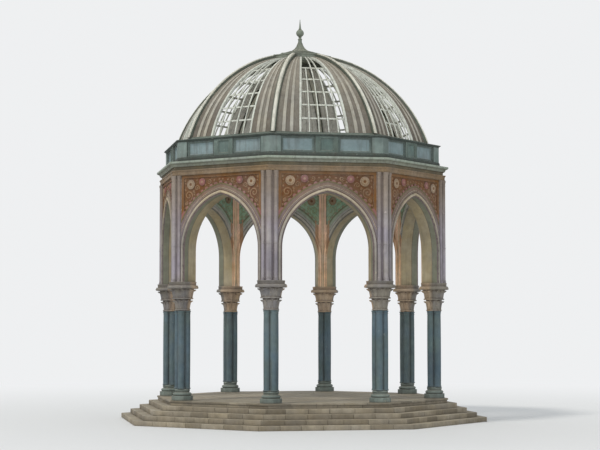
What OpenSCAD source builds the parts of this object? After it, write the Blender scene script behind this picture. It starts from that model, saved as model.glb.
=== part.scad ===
// Octagonal garden bandstand. A stepped base carries eight clustered columns with flared
// capitals, upper piers and pointed arched screens. Above them lie an architrave, a cornice,
// a panelled attic and a faceted dome with hip ribs, boarded strips and barred open gores.
// Millimetres. Origin on the ground at the middle of the octagon, +Z up.
// The middles of four bays face along X and Y, and a pier stands between each two bays.

/* [Plan] */
// Distance from the centre to the axis of each pier
pier_r = 4500; // [4300:50:4700]
// Thickness of the arched screens
wall_t = 600; // [540:10:620]

/* [Base] */
// Height of each stone course
riser = 150; // [130:5:170]
// Width of each tread
tread = 300; // [260:10:340]
// Floor outside the line of the pier axes, square to a bay
floor_margin = 420; // [380:10:480]
// How far the floor's edge stands out over the riser below it
nosing = 30; // [20:5:50]
// Thickness of that edge
nosing_t = 60; // [40:5:80]

/* [Column bases] */
// Half width of the octagonal block under each column
block_half = 320; // [290:5:340]
// Height of the block
block_h = 150; // [120:5:180]
// Radius of the lower torus
torus_r = 50; // [40:2:60]
// Radius of the upper torus
collar_r = 36; // [28:2:44]
// Height of the hollow between the two
scotia_h = 40; // [30:2:60]

/* [Columns] */
// Radius of each colonnette
shaft_r = 108; // [100:2:120]
// Distance of each colonnette from the column's axis, along both sides of the cluster
shaft_offset = 102; // [90:2:110]
// Height of the shafts
shaft_h = 2480; // [2200:20:2800]
// Height of the ring round each colonnette's foot and top
annulet_h = 36; // [24:2:50]
// How far that ring stands out
annulet_out = 16; // [10:2:24]

/* [Capitals] */
// Height of the neck ring
neck_h = 60; // [40:5:80]
// Height of the lower tier
bulb_h = 310; // [260:10:360]
// Radius of the lower tier at its foot
bulb_foot_r = 215; // [200:5:235]
// Radius of the lower tier at its top
bulb_top_r = 330; // [300:5:360]
// Height of the ring between the tiers
band_h = 45; // [30:5:60]
// How far that ring stands out
band_out = 14; // [8:2:24]
// How far the neck ring stands out from the shafts
neck_out = 48; // [36:4:60]
// Height of the upper tier
flare_h = 290; // [240:10:340]
// Radius of the upper tier at its top
flare_top_r = 445; // [410:5:460]
// Radius of the small lobes of both tiers
lobe_r = 92; // [80:2:100]
// Half width of the abacus
abacus_half = 465; // [445:5:490]
// Height of the abacus
abacus_h = 105; // [80:5:130]
// Half width of the block on the abacus
impost_half = 410; // [385:5:430]
// Height of that block
impost_h = 110; // [80:5:140]

/* [Piers and arches] */
// Height from the capitals to the architrave
pier_h = 3380; // [3200:20:3600]
// Half width of a pier, along a screen
pier_half = 172; // [150:2:190]
// Radius of the colonnette on a pier's outer corner
corner_shaft_r = 84; // [76:2:88]
// Radius of the colonnettes beside it
side_shaft_r = 62; // [54:2:66]
// Radius of the colonnette on a pier's inner corner
inner_shaft_r = 46; // [36:2:48]
// Clearance between these colonnettes' bases and the screens
shaft_gap = 6; // [4:1:12]
// Height of the bases and caps of these colonnettes
pier_base_h = 120; // [90:5:160]
// How far bases and caps stand out from the colonnettes
pier_base_out = 16; // [10:2:18]
// Width of a screen's jamb beside its opening
jamb_w = 120; // [106:2:130]
// Width of the raised edge along the outer side of the jamb
edge_w = 76; // [60:2:90]
// Height of the straight jambs
jamb_h = 990; // [900:10:1080]
// Height of the arch above its jambs
arch_rise = 1740; // [1680:6:1764]
// Depth of the sunk field round each arch, on both faces
field_d = 28; // [16:2:40]
// Plain band round the opening, up to the raised line
archivolt_w = 320; // [290:5:340]
// Width of the raised line
line_w = 34; // [24:2:44]
// How far the edge and the line stand out
roll_out = 26; // [16:2:36]
// Width of the flat margin at the field's top and sides
margin = 92; // [70:2:110]
// Radius of the scallops along the line
scallop_r = 62; // [50:2:70]
// Angle between scallops, seen from an arc's centre
scallop_step = 5.2; // [4.6:0.1:6]
// Radius of each rosette
rosette_r = 150; // [120:5:165]
// Distance of the rosettes from the middle of the bay
rosette_u = 1180; // [1140:10:1220]
// Depth of the rosettes below the architrave, at their middles
rosette_drop = 300; // [270:5:330]
// Radius of the smaller roundels nearer the arch's point
roundel_r = 118; // [100:2:124]
// Distance of the roundels from the middle of the bay
roundel_u = 730; // [720:10:760]
// Depth of the roundels below the architrave, at their middles
roundel_drop = 235; // [230:1:240]

/* [Architrave and cornice] */
// Height of the architrave's light fillet
fillet_h = 170; // [140:5:200]
// Height of the shaded recess over it
recess_h = 110; // [80:5:140]
// How far the architrave stands out from the screens
architrave_out = 78; // [76:2:100]
// How far the architrave stands in from the screens
architrave_in = 40; // [30:2:60]
// Height of the cornice
cornice_h = 180; // [150:5:220]
// How far the cornice stands out from the screens
cornice_out = 165; // [140:5:190]
// Height of the cornice's flat edge
cornice_edge = 72; // [50:2:90]

/* [Attic] */
// Height of the attic band with its coping
attic_h = 710; // [640:10:780]
// How far the attic's dies stand in from the screens' outer face
attic_set = 128; // [110:2:150]
// Thickness of the attic band
attic_t = 470; // [430:10:500]
// Width of each side taken by half of a corner die
die_w = 340; // [280:10:400]
// Width of the die in the middle of each side
mid_die_w = 720; // [600:20:840]
// Set-back of the wall between the dies
die_out = 40; // [26:2:54]
// Height of the attic's plinth
plinth_h = 140; // [110:5:160]
// Height of the attic's coping
coping_h = 76; // [64:2:90]
// How far plinth and coping stand out from the dies
coping_out = 60; // [40:5:80]
// Flat stile on both sides of each wide panel
stile_w = 62; // [50:2:80]
// Flat rail over and under each panel
rail_h = 42; // [34:2:60]
// Depth of the panels
panel_d = 40; // [24:2:56]
// Width of the small panel in each middle die
mid_panel_w = 430; // [340:10:520]

/* [Dome] */
// Height of the ring under the dome
curb_h = 100; // [80:5:120]
// How far the ring stands out from the foot of the dome's faces
curb_out = 50; // [40:5:70]
// How far the foot of the dome's faces stands out from the attic's inner face
foot_set = 80; // [76:2:100]
// How far the faces swell out past their foot
dome_swell = 150; // [120:10:180]
// Rise of the hip ribs' curve over the line in which two faces meet
hip_rise = 62; // [50:2:76]
// Width of a hip rib
rib_w = 170; // [140:5:200]
// Depth of a hip rib, inward from its curve
rib_d = 120; // [90:5:140]
// Width of the roll along the top of a hip rib
rib_roll_w = 76; // [50:2:100]
// How far the flanks and the roll of a rib stand out
rib_out = 26; // [16:2:40]
// Thickness of the boarding
board_t = 45; // [30:5:60]
// Angle from the middle of a face to the edge of its open gore
gore_a = 11.4; // [10:0.2:13]
// Width of the rails along the gore
rail_w = 66; // [50:2:80]
// Depth of the rails
rail_d = 76; // [64:2:78]
// Width of the upright bars
bar_w = 38; // [30:2:50]
// Depth of the upright bars. The ring bars take the rest of the rails' depth behind them.
bar_d = 40; // [30:2:48]
// Angle between upright bars, seen from the middle of the dome
bar_a = 4.5; // [4:0.1:4.8]
// Height of a ring bar
ring_h = 52; // [40:2:64]

/* [Crown] */
// Half width of the crown ring across its flats
crown_half = 1000; // [900:20:1100]
// Height of the crown ring
crown_h = 240; // [225:5:260]
// How far the crown ring's foot lies below the upper edge of the dome's faces
crown_drop = 110; // [100:5:130]
// Thickness of the crown ring's wall and lid
crown_t = 60; // [45:5:80]
// Half width of the step on the crown ring
step_half = 700; // [620:20:780]
// Height of that step
step_h = 90; // [70:5:120]
// Radius of the small swept cap
cap_r = 480; // [420:10:560]
// Thickness of the cap's foot
cap_foot = 70; // [50:5:90]
// Radius of the finial's ball
ball_r = 130; // [110:5:150]
// Radius of the finial's neck
stem_r = 62; // [50:2:76]
// Height of the neck below the ball
stem_h = 120; // [90:5:160]
// Height of the point above the ball
point_h = 380; // [300:10:480]

/* [Hidden] */
$fn = 48;
sides = 8;
half_a = 180 / sides;
courses = 4;
rings = 5;
tall = 20000;
eps = 1;
lip = 12;
fine = 360;

// Plan
axis_ap = pier_r * cos(half_a);
half_bay = pier_r * sin(half_a);
wall_out = axis_ap + wall_t / 2;
wall_in = axis_ap - wall_t / 2;
floor_ap = axis_ap + floor_margin;
panel_half = half_bay - pier_half;
arch_half = panel_half - jamb_w;

// Heights
floor_z = (courses + 1) * riser;
base_h = block_h + 2 * torus_r + scotia_h + 2 * collar_r;
shaft_z = floor_z + base_h;
capital_z = shaft_z + shaft_h;
capital_h = neck_h + bulb_h + band_h + flare_h + abacus_h + impost_h;
pier_z = capital_z + capital_h;
spring_z = pier_z + jamb_h;
architrave_z = pier_z + pier_h;
cornice_z = architrave_z + fillet_h + recess_h;
attic_z = cornice_z + cornice_h;
curb_z = attic_z + attic_h;
dome_z = curb_z + curb_h;

// Pointed arch of two arcs, each with its centre past the middle of the bay
arc_shift = (arch_rise * arch_rise - arch_half * arch_half) / (2 * arch_half);
arc_r = arch_half + arc_shift;

// Middle and radius of each rosette and roundel, in width and height across a bay
medallions = [for (s = [-1, 1], m = [
  [rosette_u, architrave_z - rosette_drop, rosette_r],
  [roundel_u, architrave_z - roundel_drop, roundel_r]
]) [s * m[0], m[1], m[2]]];

// Attic and the dome's curved faces
die_ap = wall_out - attic_set;
attic_in = die_ap - attic_t;
foot_ap = attic_in + foot_set;
dome_r = foot_ap + dome_swell;
face_z = dome_z - sqrt(pow(dome_r, 2) - pow(foot_ap, 2));
edge_z = face_z + sqrt(pow(dome_r, 2) - pow(crown_half, 2));

// Hip ribs, on an arc through both ends of the line in which two faces meet, then raised
hip_foot = foot_ap / cos(half_a);
hip_top = crown_half / cos(half_a);
hip_rim = pow(hip_top, 2) + pow(edge_z, 2) - pow(hip_foot, 2) - pow(dome_z, 2);
hip_mid = hip_rim / (2 * (edge_z - dome_z));
hip_r = norm([hip_foot, dome_z - hip_mid]);
hip_z = hip_mid + hip_rise;

// Ring bars at even heights between the dome's foot and the crown
ring_step = (edge_z - crown_drop - dome_z) / (rings + 1);

// Crown
crown_z = edge_z - crown_drop;
cap_z = crown_z + crown_h + step_h;
cap_h = cap_foot + cap_r - stem_r;

// Plan outline of the octagon with its sides square to the bays
module octagon(ap) {
  rotate(half_a) circle(r = ap / cos(half_a), $fn = sides);
}

// Octagonal slab between two heights
module slab(ap, z, h) {
  translate([0, 0, z]) linear_extrude(h) octagon(ap);
}

// Octagonal ring between two heights
module ring(ap_out, ap_in, z, h) {
  translate([0, 0, z]) linear_extrude(h) difference() {
    octagon(ap_out);
    octagon(ap_in);
  }
}

// Puts its children on pier i, with x pointing outward
module at_pier(i) {
  rotate((i - 1) * 2 * half_a - 90 + half_a) translate([pier_r, 0, 0]) children();
}

// Turns its children to bay i, with x pointing outward
module at_bay(i) {
  rotate((i - 1) * 2 * half_a - 90) children();
}

// Stands an outline drawn in width and height up across a bay, with its thickness along x
module upright(t) {
  rotate([90, 0, 90]) linear_extrude(t, center = true) children();
}

// Steps and floor

module step(i) {
  color("#b9b0a0") slab(floor_ap - nosing + (courses + 1 - i) * tread, (i - 1) * riser, riser);
}

module floor_slab() {
  color("#b4ab9b") {
    slab(floor_ap - nosing, floor_z - riser, riser);
    slab(floor_ap, floor_z - nosing_t, nosing_t);
  }
}

// Lower columns

module column_base() {
  torus_in = shaft_offset + shaft_r + collar_r;
  collar_in = shaft_offset + shaft_r;
  linear_extrude(block_h) octagon(block_half);
  translate([0, 0, block_h]) rotate_extrude() {
    square([torus_in, 2 * torus_r]);
    translate([torus_in, torus_r]) circle(r = torus_r);
    square([collar_in, base_h - block_h]);
    translate([collar_in, base_h - block_h - collar_r]) circle(r = collar_r);
  }
}

module column_bases() {
  color("#9aa098") for (i = [1:sides]) at_pier(i) translate([0, 0, floor_z]) column_base();
}

module column(i) {
  color("#7d8f94") at_pier(i) translate([0, 0, shaft_z]) {
    for (x = [-1, 1], y = [-1, 1]) translate([x * shaft_offset, y * shaft_offset, 0]) {
      cylinder(r = shaft_r, h = shaft_h);
      cylinder(r = shaft_r + annulet_out, h = annulet_h);
      translate([0, 0, shaft_h - annulet_h]) cylinder(r = shaft_r + annulet_out, h = annulet_h);
    }
    linear_extrude(shaft_h) square(2 * shaft_offset, center = true);
  }
}

// Capitals

// One flaring tier of lobes. It is a lobed prism trimmed by a cone.
module lobed_tier(foot_r, top_r, h, turn) {
  intersection() {
    rotate(turn) linear_extrude(h) {
      circle(r = top_r - lobe_r);
      for (i = [1:sides]) rotate(i * 2 * half_a) translate([top_r - lobe_r, 0]) circle(r = lobe_r);
    }
    cylinder(r1 = foot_r, r2 = top_r + lip, h = h);
  }
}

module capital(i) {
  bulb_z = capital_z + neck_h;
  band_z = bulb_z + bulb_h;
  flare_z = band_z + band_h;
  abacus_z = flare_z + flare_h;
  color("#a8998c") at_pier(i) {
    translate([0, 0, capital_z]) cylinder(r = shaft_offset + shaft_r + neck_out, h = neck_h);
    translate([0, 0, bulb_z]) lobed_tier(bulb_foot_r, bulb_top_r, bulb_h, 0);
    translate([0, 0, band_z]) cylinder(r = bulb_top_r + band_out, h = band_h);
    translate([0, 0, flare_z]) lobed_tier(bulb_top_r - band_out, flare_top_r, flare_h, half_a);
    slab(abacus_half, abacus_z, abacus_h);
    slab(impost_half, abacus_z + abacus_h, impost_h);
  }
}

// Upper piers

// Plan outline of a pier, whose flanks lie square to the two screens
module pier_outline() {
  t = wall_t / 2;
  along = [-sin(half_a), cos(half_a)];
  out = [cos(half_a), sin(half_a)];
  flank_out = along * pier_half + out * t;
  flank_in = along * pier_half - out * t;
  polygon([
    [t / cos(half_a), 0], flank_out, flank_in, [-t / cos(half_a), 0],
    [flank_in.x, -flank_in.y], [flank_out.x, -flank_out.y]
  ]);
}

// A colonnette with its own base and cap, as tall as the pier
module colonnette(r) {
  cylinder(r = r, h = pier_h);
  cylinder(r = r + pier_base_out, h = pier_base_h);
  translate([0, 0, pier_h - pier_base_h]) cylinder(r = r + pier_base_out, h = pier_base_h);
}

module pier(i) {
  corner_x = wall_t / 2 / cos(half_a);
  side_at = pier_half - side_shaft_r - pier_base_out - shaft_gap;
  color("#b3a6b4") at_pier(i) translate([0, 0, pier_z]) {
    linear_extrude(pier_h) pier_outline();
    translate([corner_x - pier_base_out, 0, 0]) colonnette(corner_shaft_r);
    translate([-corner_x, 0, 0]) colonnette(inner_shaft_r);
    for (s = [-1, 1]) rotate(s * half_a)
      translate([wall_t / 2, s * side_at, 0]) colonnette(side_shaft_r);
  }
}

// Arched screens

// Outline of the arched opening, widened all round
module arch_outline(extra) {
  translate([-arch_half - extra, pier_z - eps]) square([2 * (arch_half + extra), jamb_h + eps]);
  intersection() {
    translate([-arc_shift, spring_z]) circle(r = arc_r + extra);
    translate([arc_shift, spring_z]) circle(r = arc_r + extra);
    translate([-arc_r - extra, spring_z]) square([2 * (arc_r + extra), arc_r + extra]);
  }
}

module screen_outline() {
  translate([-panel_half, pier_z]) square([2 * panel_half, pier_h]);
}

module archivolt(inner, outer) {
  intersection() {
    difference() {
      arch_outline(outer);
      arch_outline(inner);
    }
    screen_outline();
  }
}

module scallops() {
  span = acos(arc_shift / (arc_r + archivolt_w + line_w));
  n = floor(span / scallop_step);
  for (s = [-1, 1], k = [0:n]) translate([-s * arc_shift, spring_z])
    rotate(90 - s * (90 - span + k * scallop_step))
      translate([arc_r + archivolt_w + line_w, 0]) circle(r = scallop_r);
}

// The sunk field over the arch, between its line, the scallops, the rosettes and the margin
module field_outline() {
  difference() {
    translate([-panel_half + margin, spring_z])
      square([2 * (panel_half - margin), pier_h - jamb_h - margin]);
    arch_outline(archivolt_w + line_w);
    scallops();
    for (m = medallions) translate([m[0], m[1]]) circle(r = m[2]);
  }
}

module arch_panel(i) {
  color("#b06a48") at_bay(i) translate([axis_ap, 0, 0]) {
    difference() {
      upright(wall_t) difference() {
        screen_outline();
        arch_outline(0);
      }
      for (s = [-1, 1]) translate([s * wall_t / 2, 0, 0]) upright(2 * field_d) field_outline();
    }
    upright(wall_t + 2 * roll_out) archivolt(jamb_w - edge_w, jamb_w);
    upright(wall_t + roll_out) archivolt(archivolt_w, archivolt_w + line_w);
    for (m = medallions) translate([0, m[0], m[1]])
      rotate([0, 90, 0]) cylinder(r = m[2] / 2, h = wall_t + roll_out, center = true);
  }
}

// Architrave, cornice and attic

module architrave() {
  color("#d9b88c") {
    ring(wall_out + architrave_out, wall_in - architrave_in, architrave_z, fillet_h);
    ring(wall_out, wall_in - architrave_in, architrave_z + fillet_h, recess_h);
  }
}

module cornice() {
  edge = wall_out + cornice_out;
  color("#b7c0b4") difference() {
    ring(edge, attic_in, cornice_z, cornice_h);
    for (i = [1:sides]) at_bay(i) translate([edge, 0, cornice_z])
      rotate([90, 0, 0]) cylinder(r = cornice_h - cornice_edge, h = 2 * edge, center = true);
  }
}

module attic() {
  bed_w = die_ap * tan(half_a) - die_w - mid_die_w / 2;
  bed_h = attic_h - plinth_h - coping_h;
  panel_h = bed_h - 2 * rail_h;
  color("#a9b9b6") difference() {
    union() {
      ring(die_ap, attic_in, attic_z, attic_h);
      ring(die_ap + coping_out / 2, attic_in, attic_z, plinth_h);
      ring(die_ap + coping_out / 2, attic_in, curb_z - coping_h, coping_h);
      ring(die_ap + coping_out, attic_in, curb_z - coping_h / 2, coping_h / 2);
    }
    for (i = [1:sides]) at_bay(i) translate([die_ap, 0, attic_z + plinth_h + bed_h / 2]) {
      for (s = [-1, 1]) translate([0, s * (mid_die_w + bed_w) / 2, 0]) {
        cube([2 * die_out, bed_w, bed_h], center = true);
        cube([2 * (die_out + panel_d), bed_w - 2 * stile_w, panel_h], center = true);
      }
      cube([2 * panel_d, mid_panel_w, panel_h], center = true);
    }
  }
}

// Dome

module dome_curb() {
  color("#8d9a90") ring(foot_ap + curb_out, attic_in, curb_z, curb_h);
}

// Curved layer of one face of the dome, between two depths below its surface
module face_layer(top_d, under_d) {
  translate([0, 0, face_z]) rotate([90, 0, 0]) difference() {
    cylinder(r = dome_r - top_d, h = 2 * dome_r, center = true, $fn = fine);
    cylinder(r = dome_r - under_d, h = 2 * dome_r + 2 * eps, center = true, $fn = fine);
  }
}

// One hip rib in the plane of X and Z, with flat flanks and a roll along its back
module hip_rib() {
  for (part = [[rib_w, 0], [rib_roll_w, rib_out]]) intersection() {
    translate([0, 0, hip_z]) rotate([90, 0, 0])
      linear_extrude(part[0], center = true, $fn = fine) difference() {
        circle(r = hip_r + rib_out + part[1]);
        circle(r = hip_r - rib_d);
      }
    translate([0, -rib_w, dome_z]) cube([2 * pier_r, 2 * rib_w, dome_r]);
  }
}

module dome_ribs() {
  color("#d3d3c2") difference() {
    for (i = [1:sides]) rotate(half_a * (2 * i - 1)) hip_rib();
    translate([0, 0, dome_z - eps]) linear_extrude(tall) octagon(crown_half);
  }
}

// Plan of one boarded strip, between the side of a hip rib and the edge of the gore
module strip_outline(s) {
  reach = pier_r;
  gap = rib_w / 2 / sin(half_a);
  start = gap * sin(half_a) / sin(half_a - gore_a);
  gore_x = start * cos(gore_a);
  polygon([
    [gore_x, s * gore_x * tan(gore_a)],
    [reach, s * reach * tan(gore_a)],
    [reach, s * (reach - gap) * tan(half_a)]
  ]);
}

// Part of a face's layer over a plan outline, from the curb to the crown ring
module on_face(top_d, under_d) {
  intersection() {
    face_layer(top_d, under_d);
    translate([0, 0, dome_z]) linear_extrude(dome_r) difference() {
      children();
      octagon(crown_half);
    }
  }
}

module dome_boards() {
  color("#c9b48f") for (i = [1:sides], s = [-1, 1]) at_bay(i) on_face(0, board_t) strip_outline(s);
}

// Plan of the rail on one side of a gore
module rail_outline(s) {
  rotate(s * gore_a) translate([0, s < 0 ? 0 : -rail_w]) square([pier_r, rail_w]);
}

module dome_rails() {
  color("#c6c8ba") for (i = [1:sides], s = [-1, 1]) at_bay(i) on_face(0, rail_d) rail_outline(s);
}

// Four upright bars in each gore. The inner two reach the crown, the outer two the last ring bar.
module dome_bars() {
  ring_ap = sqrt(pow(dome_r, 2) - pow(dome_z + rings * ring_step - face_z, 2));
  color("#cfd2c6") for (i = [1:sides], k = [-1.5:1.5]) at_bay(i) {
    start = abs(k) > 1 ? ring_ap : 0;
    on_face(0, bar_d) rotate(k * bar_a) translate([start, -bar_w / 2]) square([pier_r - start, bar_w]);
  }
}

// Level bars behind the upright ones, from rail to rail
module dome_rings() {
  half_w = pier_r * tan(gore_a) - rail_w / cos(gore_a);
  color("#bfc2b4") for (i = [1:sides], k = [1:rings]) at_bay(i) intersection() {
    face_layer(bar_d, rail_d);
    translate([0, 0, dome_z + k * ring_step - ring_h / 2]) linear_extrude(ring_h)
      polygon([[rail_w / sin(gore_a), 0], [pier_r, -half_w], [pier_r, half_w]]);
  }
}

// Crown

module crown() {
  color("#a7ab98") {
    difference() {
      slab(crown_half, crown_z, crown_h);
      slab(crown_half - crown_t, crown_z - eps, crown_h - crown_t + eps);
    }
    slab(step_half, crown_z + crown_h, step_h);
    translate([0, 0, cap_z]) rotate_extrude($fn = 96) difference() {
      square([cap_r, cap_h]);
      translate([cap_r, cap_h]) circle(r = cap_r - stem_r);
    }
  }
}

module finial() {
  color("#8c8f7c") translate([0, 0, cap_z + cap_h]) {
    cylinder(r = stem_r, h = stem_h + ball_r);
    translate([0, 0, stem_h + ball_r]) sphere(r = ball_r);
    translate([0, 0, stem_h + 2 * ball_r - stem_r / 2]) cylinder(r1 = stem_r, r2 = stem_r / 6, h = point_h);
  }
}

for (i = [1:courses]) step(i);
floor_slab();
column_bases();
for (i = [1:sides]) column(i);
for (i = [1:sides]) capital(i);
for (i = [1:sides]) pier(i);
for (i = [1:sides]) arch_panel(i);
architrave();
cornice();
attic();
dome_curb();
dome_ribs();
dome_boards();
dome_rails();
dome_bars();
dome_rings();
crown();
finial();
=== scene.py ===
"""Looks of the octagonal bandstand: stone courses, carved capitals, painted arches and a boarded dome."""
import random
from math import acos, asin, atan, cos, degrees, pi, radians, sin, sqrt, tan

import bpy
from mathutils import Matrix, Vector


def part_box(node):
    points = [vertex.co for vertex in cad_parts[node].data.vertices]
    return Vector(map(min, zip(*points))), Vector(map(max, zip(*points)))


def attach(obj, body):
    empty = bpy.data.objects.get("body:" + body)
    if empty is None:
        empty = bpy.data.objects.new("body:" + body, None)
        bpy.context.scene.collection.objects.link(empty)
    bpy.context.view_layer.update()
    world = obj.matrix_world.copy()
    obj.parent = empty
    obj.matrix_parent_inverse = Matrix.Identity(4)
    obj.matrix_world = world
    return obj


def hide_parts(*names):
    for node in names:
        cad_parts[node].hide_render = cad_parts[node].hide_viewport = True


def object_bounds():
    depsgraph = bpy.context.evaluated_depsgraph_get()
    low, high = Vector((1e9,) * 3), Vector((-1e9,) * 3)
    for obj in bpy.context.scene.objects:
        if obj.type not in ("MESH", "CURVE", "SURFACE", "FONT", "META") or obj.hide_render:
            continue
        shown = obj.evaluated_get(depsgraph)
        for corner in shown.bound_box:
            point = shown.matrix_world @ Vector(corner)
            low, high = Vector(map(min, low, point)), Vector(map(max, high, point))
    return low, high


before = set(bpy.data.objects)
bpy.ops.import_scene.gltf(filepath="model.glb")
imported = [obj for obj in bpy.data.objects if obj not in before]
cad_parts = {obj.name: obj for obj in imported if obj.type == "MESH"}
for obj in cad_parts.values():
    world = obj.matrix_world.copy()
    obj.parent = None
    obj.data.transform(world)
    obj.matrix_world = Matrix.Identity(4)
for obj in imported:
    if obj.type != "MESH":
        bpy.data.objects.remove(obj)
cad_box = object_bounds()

# Sizes in metres, the same as the part's own

SIDES = 8
HALF = pi / SIDES
PIER_R = 4.5
WALL_T = 0.6
AXIS_AP = PIER_R * cos(HALF)
WALL_OUT = AXIS_AP + WALL_T / 2
PIER_HALF = 0.172
PANEL_HALF = PIER_R * sin(HALF) - PIER_HALF
JAMB_W = 0.12
EDGE_W = 0.076
ARCH_HALF = PANEL_HALF - JAMB_W
JAMB_H = 0.99
ARCH_RISE = 1.74
ARC_SHIFT = (ARCH_RISE ** 2 - ARCH_HALF ** 2) / (2 * ARCH_HALF)
ARC_R = ARCH_HALF + ARC_SHIFT
ARCHIVOLT_W = 0.32
LINE_W = 0.034
SCALLOP_R = 0.062
FIELD_D = 0.028
ROLL_OUT = 0.026

# Heights and widths of the frame's pieces

FLOOR_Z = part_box("floor_slab")[1].z
BASE_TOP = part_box("column_bases")[1].z
CAPITAL_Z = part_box("capital_1")[0].z
PIER_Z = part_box("pier_1")[0].z
SPRING_Z = PIER_Z + JAMB_H
BEAM_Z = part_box("architrave")[0].z
CORNICE_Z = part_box("cornice")[0].z
ATTIC_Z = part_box("attic")[0].z
CURB_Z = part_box("dome_curb")[0].z
DOME_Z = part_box("dome_curb")[1].z
TOP_Z = cad_box[1].z
FLOOR_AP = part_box("floor_slab")[1].x
STEP_APS = [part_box("step_%d" % i)[1].x for i in range(1, 5)]
RISER = FLOOR_Z / 5

# Beam, medallions (place along the wall, height, radius) and attic

FILLET_H = 0.17
CORNICE_EDGE_H = 0.076
ROSETTE = (1.18, BEAM_Z - 0.3, 0.15)
ROUNDEL = (0.73, BEAM_Z - 0.235, 0.118)
DIE_AP = WALL_OUT - 0.128
ATTIC_IN = DIE_AP - 0.47
DIE_OUT = 0.04
PANEL_D = 0.04
PLINTH_H = 0.14
COPING_H = 0.076
DIE_W = 0.34
MID_DIE_W = 0.72
STILE_W = 0.062
RAIL_H = 0.042
MID_PANEL_W = 0.43

# Dome

FOOT_AP = ATTIC_IN + 0.08
DOME_R = FOOT_AP + 0.15
FACE_Z = DOME_Z - sqrt(DOME_R ** 2 - FOOT_AP ** 2)
GORE_A = radians(11.4)
RIB_W = 0.17
CREST_HALF = 0.056
CROWN_HALF = 1
BOARDS = 3
BOARD_T = 0.03

# Stone joints, and the stretch of noise into streaks and grain that run upward

JOINT = 0.007
RAIN = (9, 9, 0.55)
WOOD_GRAIN = (28, 28, 3)
BOARD_GRAIN = (34, 34, 2.4)

random.seed(41)


def rgb(r, g, b):
    """A colour as it looks on a screen, 11 to 255 each, as linear values."""
    return tuple(((c / 255 + 0.055) / 1.055) ** 2.4 for c in (r, g, b)) + (1,)


# Colours used in more than one place

CREAM = rgb(182, 166, 140)
LILAC_DEEP = rgb(115, 106, 113)
STRIP = rgb(112, 98, 98)
FIELD = rgb(110, 74, 43)
SHADE = rgb(98, 74, 58)
PINK = rgb(141, 96, 89)
ROSE = rgb(154, 124, 102)
OLIVE = rgb(110, 98, 66)
TOP_ORANGE = rgb(121, 85, 50)
# Dark colour for rain streaks, and for the painted shade in corners
DIRT_AND_SHADE = rgb(70, 62, 52)
BACKDROP = (0.86, 0.87, 0.88, 1)


def joining(op):
    """A method that joins two numbers in a math node."""
    return lambda self, other: self.nodes.math(op, self, other)


class Value:
    """A number that varies over a surface. Sums and comparisons with it add math nodes."""

    __add__ = joining("ADD")
    __sub__ = joining("SUBTRACT")
    __mul__ = joining("MULTIPLY")
    __lt__ = joining("LESS_THAN")
    __gt__ = joining("GREATER_THAN")

    def __init__(self, nodes, socket):
        self.nodes = nodes
        self.socket = socket

    def __abs__(self):
        return self.nodes.math("ABSOLUTE", self)

    def span(self, low, high, to_low=0, to_high=1):
        """The stretch from low to high drawn out to a new one, and level beyond its ends."""
        ends = enumerate((self, low, high, to_low, to_high))
        return Value(self.nodes, self.nodes.node("MapRange", ends, clamp=True).outputs[0])

    def inside(self, low, high):
        """1 between two numbers, 0 elsewhere."""
        return (self > low) * (self < high)


class Nodes:
    """A node tree with short calls. Numbers come back as Values and colours as sockets."""

    def __init__(self, tree):
        self.tree = tree

    def node(self, kind, inputs=(), **props):
        made = self.tree.nodes.new("ShaderNode" + kind)
        for key, value in props.items():
            setattr(made, key, value)
        return self.fill(made, dict(inputs))

    def fill(self, made, inputs):
        """Sets a node's inputs, or links them where the value is another node's."""
        for key, value in inputs.items():
            if isinstance(value, Value):
                value = value.socket
            if isinstance(value, bpy.types.NodeSocket):
                self.tree.links.new(value, made.inputs[key])
            else:
                made.inputs[key].default_value = value
        return made

    def math(self, op, *numbers):
        return Value(self, self.node("Math", enumerate(numbers), operation=op).outputs[0])

    def length(self, a, b):
        return self.math("SQRT", a * a + b * b)

    def vector(self, op, a, b=(0, 0, 0)):
        return self.node("VectorMath", {0: a, 1: b}, operation=op).outputs

    def dot(self, a, b):
        return Value(self, self.vector("DOT_PRODUCT", a, b)["Value"])

    def parts(self, vector):
        return [Value(self, part) for part in self.node("SeparateXYZ", {0: vector}).outputs]

    def mix(self, fac, a, b):
        return self.node("Mix", {0: fac, 6: a, 7: b}, data_type="RGBA").outputs[2]

    def seen_rays(self):
        """1 for rays that show the backdrop as it is: straight, mirrored or through glass."""
        ray = self.node("LightPath").outputs
        mirrored = self.math("MAXIMUM", ray["Is Glossy Ray"], ray["Is Transmission Ray"])
        return self.math("MAXIMUM", ray["Is Camera Ray"], mirrored)


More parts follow.
